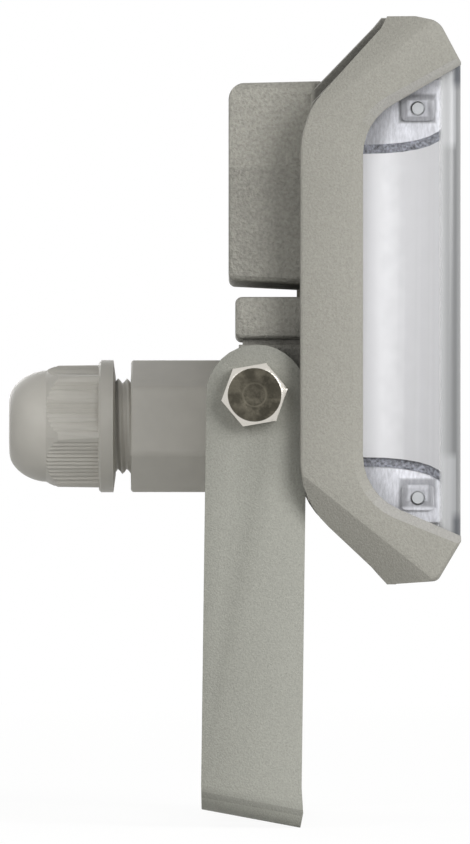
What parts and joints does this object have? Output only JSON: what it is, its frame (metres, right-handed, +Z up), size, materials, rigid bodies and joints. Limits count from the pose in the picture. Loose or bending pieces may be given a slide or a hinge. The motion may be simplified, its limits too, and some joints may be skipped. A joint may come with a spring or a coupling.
{
  "type": "led flood light",
  "caption": "Box-shaped flood light with a clear box lens between scooped side cheeks, a ribbed cable gland at the back and a U-shaped mounting bracket that it tilts in.",
  "frame": {"origin": "centre of the bracket foot's outer face", "axes": "+X where the lamp shines at rest, +Z up, +Y from the side that the picture shows to the far side"},
  "size_m": [0.1017, 0.16, 0.1808],
  "materials": {
    "cast_paint": "die-cast aluminium with a fine-textured powder coat, warm gray",
    "bracket_paint": "fine-textured powder coat, warm gray",
    "gray_nylon": "satin moulded nylon, gray",
    "stainless": "satin stainless steel",
    "zinc_steel": "zinc-plated steel",
    "clear_plastic": "clear gloss moulding",
    "bright_metal": "bright metallised surface",
    "white_satin": "satin white",
    "black_rubber": "matte",
    "soft_gray": "matte silicone",
    "raw_aluminium": "mill finish",
    "board_white": "white solder mask",
    "phosphor": "smooth yellow",
    "driver_black": "matte black",
    "terminal_gray": "matte light gray"
  },
  "bodies": {
    "bracket": {"bracket": "bracket_paint"},
    "lamp_head": {"rear_housing": "cast_paint", "front_bezel": "cast_paint", "lens": "clear_plastic", "lens_gasket": "black_rubber", "led_carrier": "raw_aluminium", "thermal_pad": "soft_gray", "led_board": "board_white", "led_emitter": "phosphor", "reflector": "bright_metal", "driver_unit": "driver_black", "terminal_block": "terminal_gray", "pivot_bolt_near": "stainless", "pivot_bolt_far": "stainless", "friction_washer_near": "zinc_steel", "friction_washer_far": "zinc_steel", "reflector_end_near": "bright_metal", "reflector_end_far": "bright_metal", "side_panel_near": "white_satin", "side_panel_far": "white_satin", "end_screw_near_1": "zinc_steel", "end_screw_near_2": "zinc_steel", "end_screw_far_1": "zinc_steel", "end_screw_far_2": "zinc_steel", "bezel_screw_1": "stainless", "bezel_screw_2": "stainless", "bezel_screw_3": "stainless", "bezel_screw_4": "stainless", "carrier_screw_1": "zinc_steel", "carrier_screw_2": "zinc_steel", "carrier_screw_3": "zinc_steel", "carrier_screw_4": "zinc_steel", "gland_body": "gray_nylon", "gland_gasket": "black_rubber", "gland_locknut": "gray_nylon"},
    "gland_seal": {"gland_seal": "black_rubber"},
    "gland_nut": {"gland_nut": "gray_nylon"}
  },
  "joints": [
    {"name": "tilt", "type": "hinge", "parent": "bracket", "child": "lamp_head", "pos_m": [0.0008, 0, 0.0945], "axis": [0, -1, 0], "range_deg": [0, 180]},
    {"name": "gland_nut_advance", "type": "slide", "parent": "lamp_head", "child": "gland_seal", "axis": [1, 0, 0], "range_m": [0, 0.0033]},
    {"name": "gland_nut_turn", "type": "hinge", "parent": "gland_seal", "child": "gland_nut", "pos_m": [-0.04426, 0, 0.0875], "axis": [1, 0, 0], "range_deg": [0, 576]}
  ],
  "couplings": [
    {"joint": "gland_nut_advance", "follows": "gland_nut_turn", "m_per_rad": 0.00031831}
  ]
}
